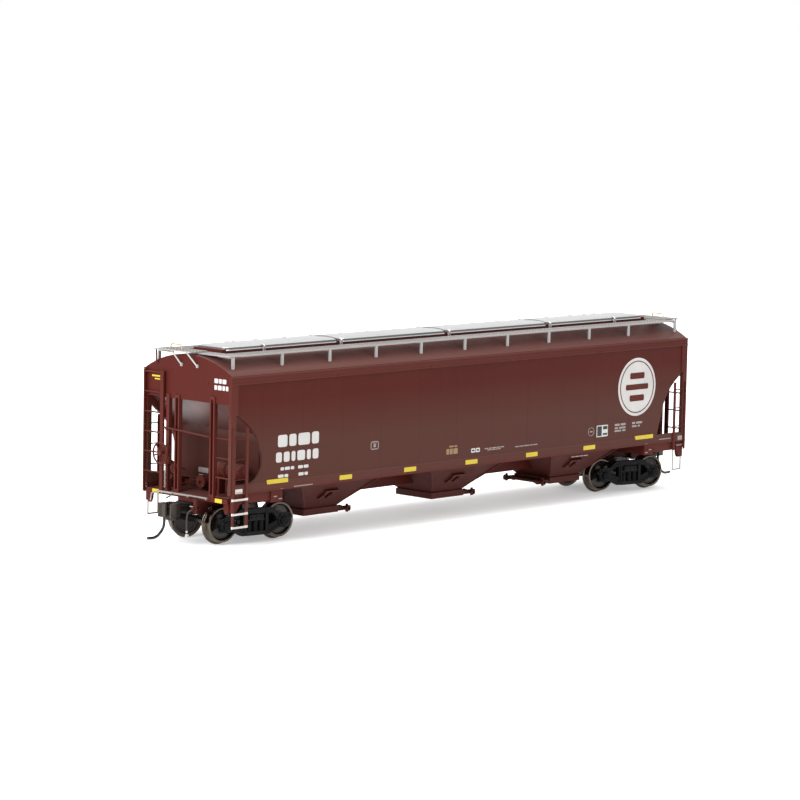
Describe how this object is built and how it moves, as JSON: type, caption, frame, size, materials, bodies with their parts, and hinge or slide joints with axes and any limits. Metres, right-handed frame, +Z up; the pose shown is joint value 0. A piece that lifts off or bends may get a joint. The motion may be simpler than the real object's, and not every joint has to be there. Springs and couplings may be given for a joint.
{
  "type": "model covered hopper car",
  "caption": "Scale model of a covered hopper freight car with swivelling trucks, rolling wheelsets, swinging couplers, opening knuckles, roof hatches and outlet gates.",
  "frame": {"origin": "on the table under the middle of the car, level with the bottom of the wheel flanges", "axes": "+X runs along the car from the hand-brake end to the plain end, +Y is the far side as pictured, +Z is up"},
  "size_m": [0.2312, 0.0376, 0.0573],
  "materials": {
    "car_paint": "satin red-brown paint",
    "board_metal": "etched, unpainted",
    "hatch_silver": "silver paint",
    "weight_steel": "mill finish",
    "black_plastic": "satin black",
    "wheel_metal": "dark nickel",
    "coupler_metal": "blackened",
    "screw_steel": "zinc",
    "fine_wire": "drawn wire",
    "hose_grey": "matt"
  },
  "bodies": {
    "car_body": {"air_hoses": "hose_grey", "air_reservoir": "car_paint", "ballast_weight": "weight_steel", "body_shell": "car_paint", "brake_cylinder": "car_paint", "brake_housing": "car_paint", "brake_wheel": "car_paint", "control_valve": "car_paint", "corner_ladder_a": "car_paint", "corner_ladder_b": "car_paint", "coupler_box_a": "black_plastic", "coupler_box_b": "black_plastic", "coupler_box_screws": "screw_steel", "cut_levers": "fine_wire", "end_ladder_a": "car_paint", "end_ladder_b": "car_paint", "end_platform_a": "car_paint", "end_platform_b": "car_paint", "end_posts_a": "car_paint", "end_posts_b": "car_paint", "end_slope_a": "car_paint", "end_slope_b": "car_paint", "gate_doors": "car_paint", "gate_shafts": "black_plastic", "hatch_clamps": "hatch_silver", "hatch_cover_1": "hatch_silver", "hatch_cover_2": "hatch_silver", "hatch_cover_3": "hatch_silver", "hatch_cover_4": "hatch_silver", "hopper_bay_a": "car_paint", "hopper_bay_b": "car_paint", "hopper_bay_centre": "car_paint", "kingpin_screws": "screw_steel", "outlet_frame_a": "car_paint", "outlet_frame_b": "car_paint", "outlet_frame_centre": "car_paint", "ridge_sheets": "car_paint", "running_board": "board_metal", "running_board_brackets": "board_metal", "side_ladders": "car_paint", "stirrup_steps": "fine_wire", "underframe": "car_paint"},
    "truck_a": {"truck_a_bolster": "black_plastic", "truck_a_sideframes": "black_plastic"},
    "wheelset_a_outer": {"wheelset_a_outer": "wheel_metal", "bearing_caps_a_outer": "black_plastic"},
    "wheelset_a_inner": {"wheelset_a_inner": "wheel_metal", "bearing_caps_a_inner": "black_plastic"},
    "coupler_a": {"coupler_a": "coupler_metal"},
    "knuckle_a": {"knuckle_a": "coupler_metal", "trip_pin_a": "coupler_metal"},
    "truck_b": {"truck_b_bolster": "black_plastic", "truck_b_sideframes": "black_plastic"},
    "wheelset_b_outer": {"wheelset_b_outer": "wheel_metal", "bearing_caps_b_outer": "black_plastic"},
    "wheelset_b_inner": {"wheelset_b_inner": "wheel_metal", "bearing_caps_b_inner": "black_plastic"},
    "coupler_b": {"coupler_b": "coupler_metal"},
    "knuckle_b": {"knuckle_b": "coupler_metal", "trip_pin_b": "coupler_metal"}
  },
  "joints": [
    {"name": "truck_b_swivel", "type": "hinge", "parent": "car_body", "child": "truck_b", "pos_m": [-0.085, 0, 0.0096], "axis": [0, 0, 1], "range_deg": [-5.4, 18.6]},
    {"name": "wheelset_b_outer_spin", "type": "hinge", "parent": "truck_b", "child": "wheelset_b_outer", "pos_m": [-0.09513, 0.00117, 0.0059], "axis": [0.1149, 0.9934, 0], "continuous": true},
    {"name": "wheelset_b_inner_spin", "type": "hinge", "parent": "truck_b", "child": "wheelset_b_inner", "pos_m": [-0.07487, -0.00117, 0.0059], "axis": [0.1149, 0.9934, 0], "continuous": true},
    {"name": "coupler_b_swing", "type": "hinge", "parent": "car_body", "child": "coupler_b", "pos_m": [-0.0986, 0, 0.01055], "axis": [0, 0, 1], "range_deg": [-12, 12], "stiffness_Nm_per_rad": 0.0002},
    {"name": "knuckle_b_open", "type": "hinge", "parent": "coupler_b", "child": "knuckle_b", "pos_m": [-0.1078, 0.0018, 0.01055], "axis": [0, 0, 1], "range_deg": [-35, 0], "stiffness_Nm_per_rad": 0.0002},
    {"name": "truck_a_swivel", "type": "hinge", "parent": "car_body", "child": "truck_a", "pos_m": [0.085, 0, 0.0096], "axis": [0, 0, 1], "range_deg": [-1, 23]},
    {"name": "wheelset_a_outer_spin", "type": "hinge", "parent": "truck_a", "child": "wheelset_a_outer", "pos_m": [0.09501, -0.00195, 0.0059], "axis": [0.1908, 0.9816, 0], "continuous": true},
    {"name": "wheelset_a_inner_spin", "type": "hinge", "parent": "truck_a", "child": "wheelset_a_inner", "pos_m": [0.07499, 0.00195, 0.0059], "axis": [0.1908, 0.9816, 0], "continuous": true},
    {"name": "coupler_a_swing", "type": "hinge", "parent": "car_body", "child": "coupler_a", "pos_m": [0.0986, 0, 0.01055], "axis": [0, 0, 1], "range_deg": [-12, 12], "stiffness_Nm_per_rad": 0.0002},
    {"name": "knuckle_a_open", "type": "hinge", "parent": "coupler_a", "child": "knuckle_a", "pos_m": [0.1078, -0.0018, 0.01055], "axis": [0, 0, 1], "range_deg": [-35, 0], "stiffness_Nm_per_rad": 0.0002}
  ]
}
